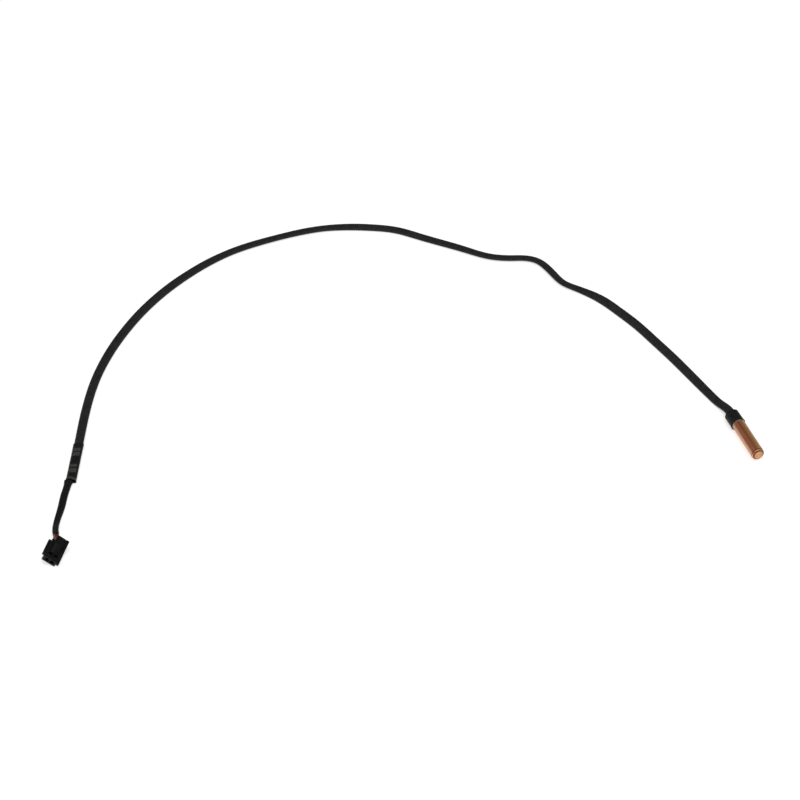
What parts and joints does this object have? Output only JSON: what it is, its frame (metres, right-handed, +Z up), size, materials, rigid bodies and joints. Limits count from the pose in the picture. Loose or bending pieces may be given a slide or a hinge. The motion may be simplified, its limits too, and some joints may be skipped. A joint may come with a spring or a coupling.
{
  "type": "thermistor temperature probe",
  "caption": "Bead thermistor potted in a thin copper can, with a shrunk collar, a long flat black lead, a marking sleeve, a thin tail and a small crimp connector",
  "frame": {"origin": "under the middle of the probe, on the surface that the sensor lies on", "axes": "+X along the probe towards its closed tip, +Z up"},
  "size_m": [0.2287, 0.3224, 0.0074],
  "materials": {
    "copper": "satin",
    "collar": "matt",
    "bead": "gloss",
    "leg": "satin",
    "leg_sleeve": "satin",
    "ferrule": "satin",
    "core": "satin",
    "insulation_brown": "matt",
    "insulation_red": "matt",
    "potting": "matt",
    "lead": "matt",
    "label_sleeve": "matt",
    "tail_tube": "satin",
    "housing": "satin",
    "contact": "satin"
  },
  "bodies": {
    "root": {"copper_can": "copper", "collar": "collar", "thermistor_bead": "bead", "bead_leg_a": "leg", "bead_leg_b": "leg", "leg_sleeve_a": "leg_sleeve", "leg_sleeve_b": "leg_sleeve", "splice_ferrule_a": "ferrule", "splice_ferrule_b": "ferrule", "stripped_core_a": "core", "stripped_core_b": "core", "probe_wire_a": "insulation_brown", "probe_wire_b": "insulation_red", "potting": "potting", "lead": "lead", "lead_end": "lead", "label_sleeve": "label_sleeve", "tail_end": "tail_tube", "tail_tube": "tail_tube", "wire_brown": "insulation_brown", "wire_red": "insulation_red", "connector_housing": "housing", "contact_a": "contact", "contact_b": "contact", "contact_core_a": "core", "contact_core_b": "core"}
  },
  "joints": []
}
